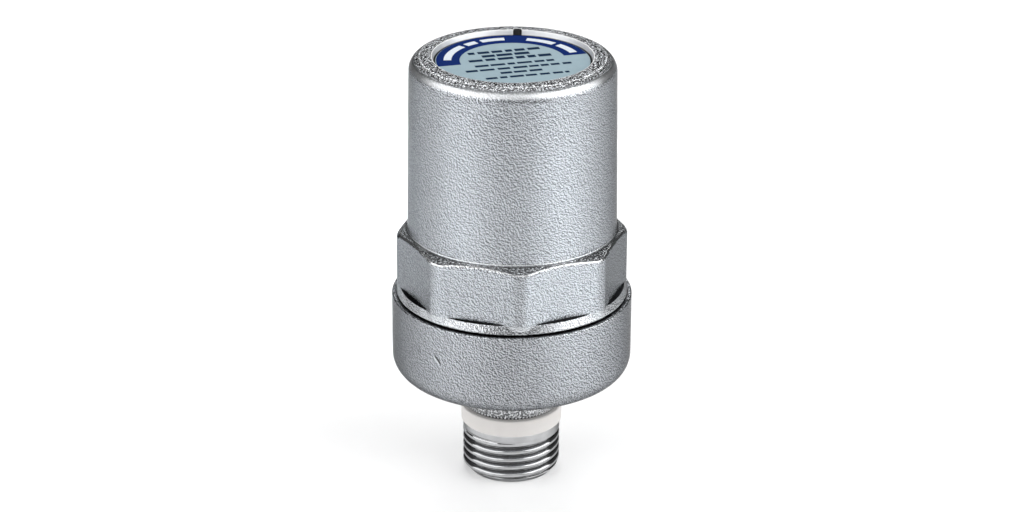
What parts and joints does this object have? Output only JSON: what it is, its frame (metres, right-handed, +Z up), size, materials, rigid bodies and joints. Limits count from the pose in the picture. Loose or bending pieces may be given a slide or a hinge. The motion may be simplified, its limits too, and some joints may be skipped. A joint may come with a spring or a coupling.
{
  "type": "water hammer arrestor",
  "caption": "Upright chrome-plated surge damper: screwed barrel housing with a wrench octagon and a male pipe thread below; a sprung piston slides inside to soak up pressure spikes.",
  "frame": {"origin": "centre of the threaded spigot's end face, where the water comes in", "axes": "+Z up the axis from the inlet to the label; +X and +Y square to flats of the octagon"},
  "size_m": [0.0511, 0.051, 0.0941],
  "materials": {
    "cast_chrome": "satin",
    "black_rubber": "matte",
    "white_seal": "matte",
    "piston_plastic": "satin",
    "spring_steel": "satin",
    "label_film": "satin"
  },
  "bodies": {
    "housing": {"lower_body": "cast_chrome", "cap": "cast_chrome", "body_seal": "black_rubber", "thread_seal_ring": "white_seal", "spring": "spring_steel", "label": "label_film"},
    "piston_body": {"piston": "piston_plastic", "piston_seal_lower": "black_rubber", "piston_seal_upper": "black_rubber"}
  },
  "joints": [
    {"name": "piston_slide", "type": "slide", "parent": "housing", "child": "piston_body", "axis": [0, 0, 1], "range_m": [0, 0.017], "stiffness_N_per_m": 36500, "deforming": ["spring"]}
  ]
}
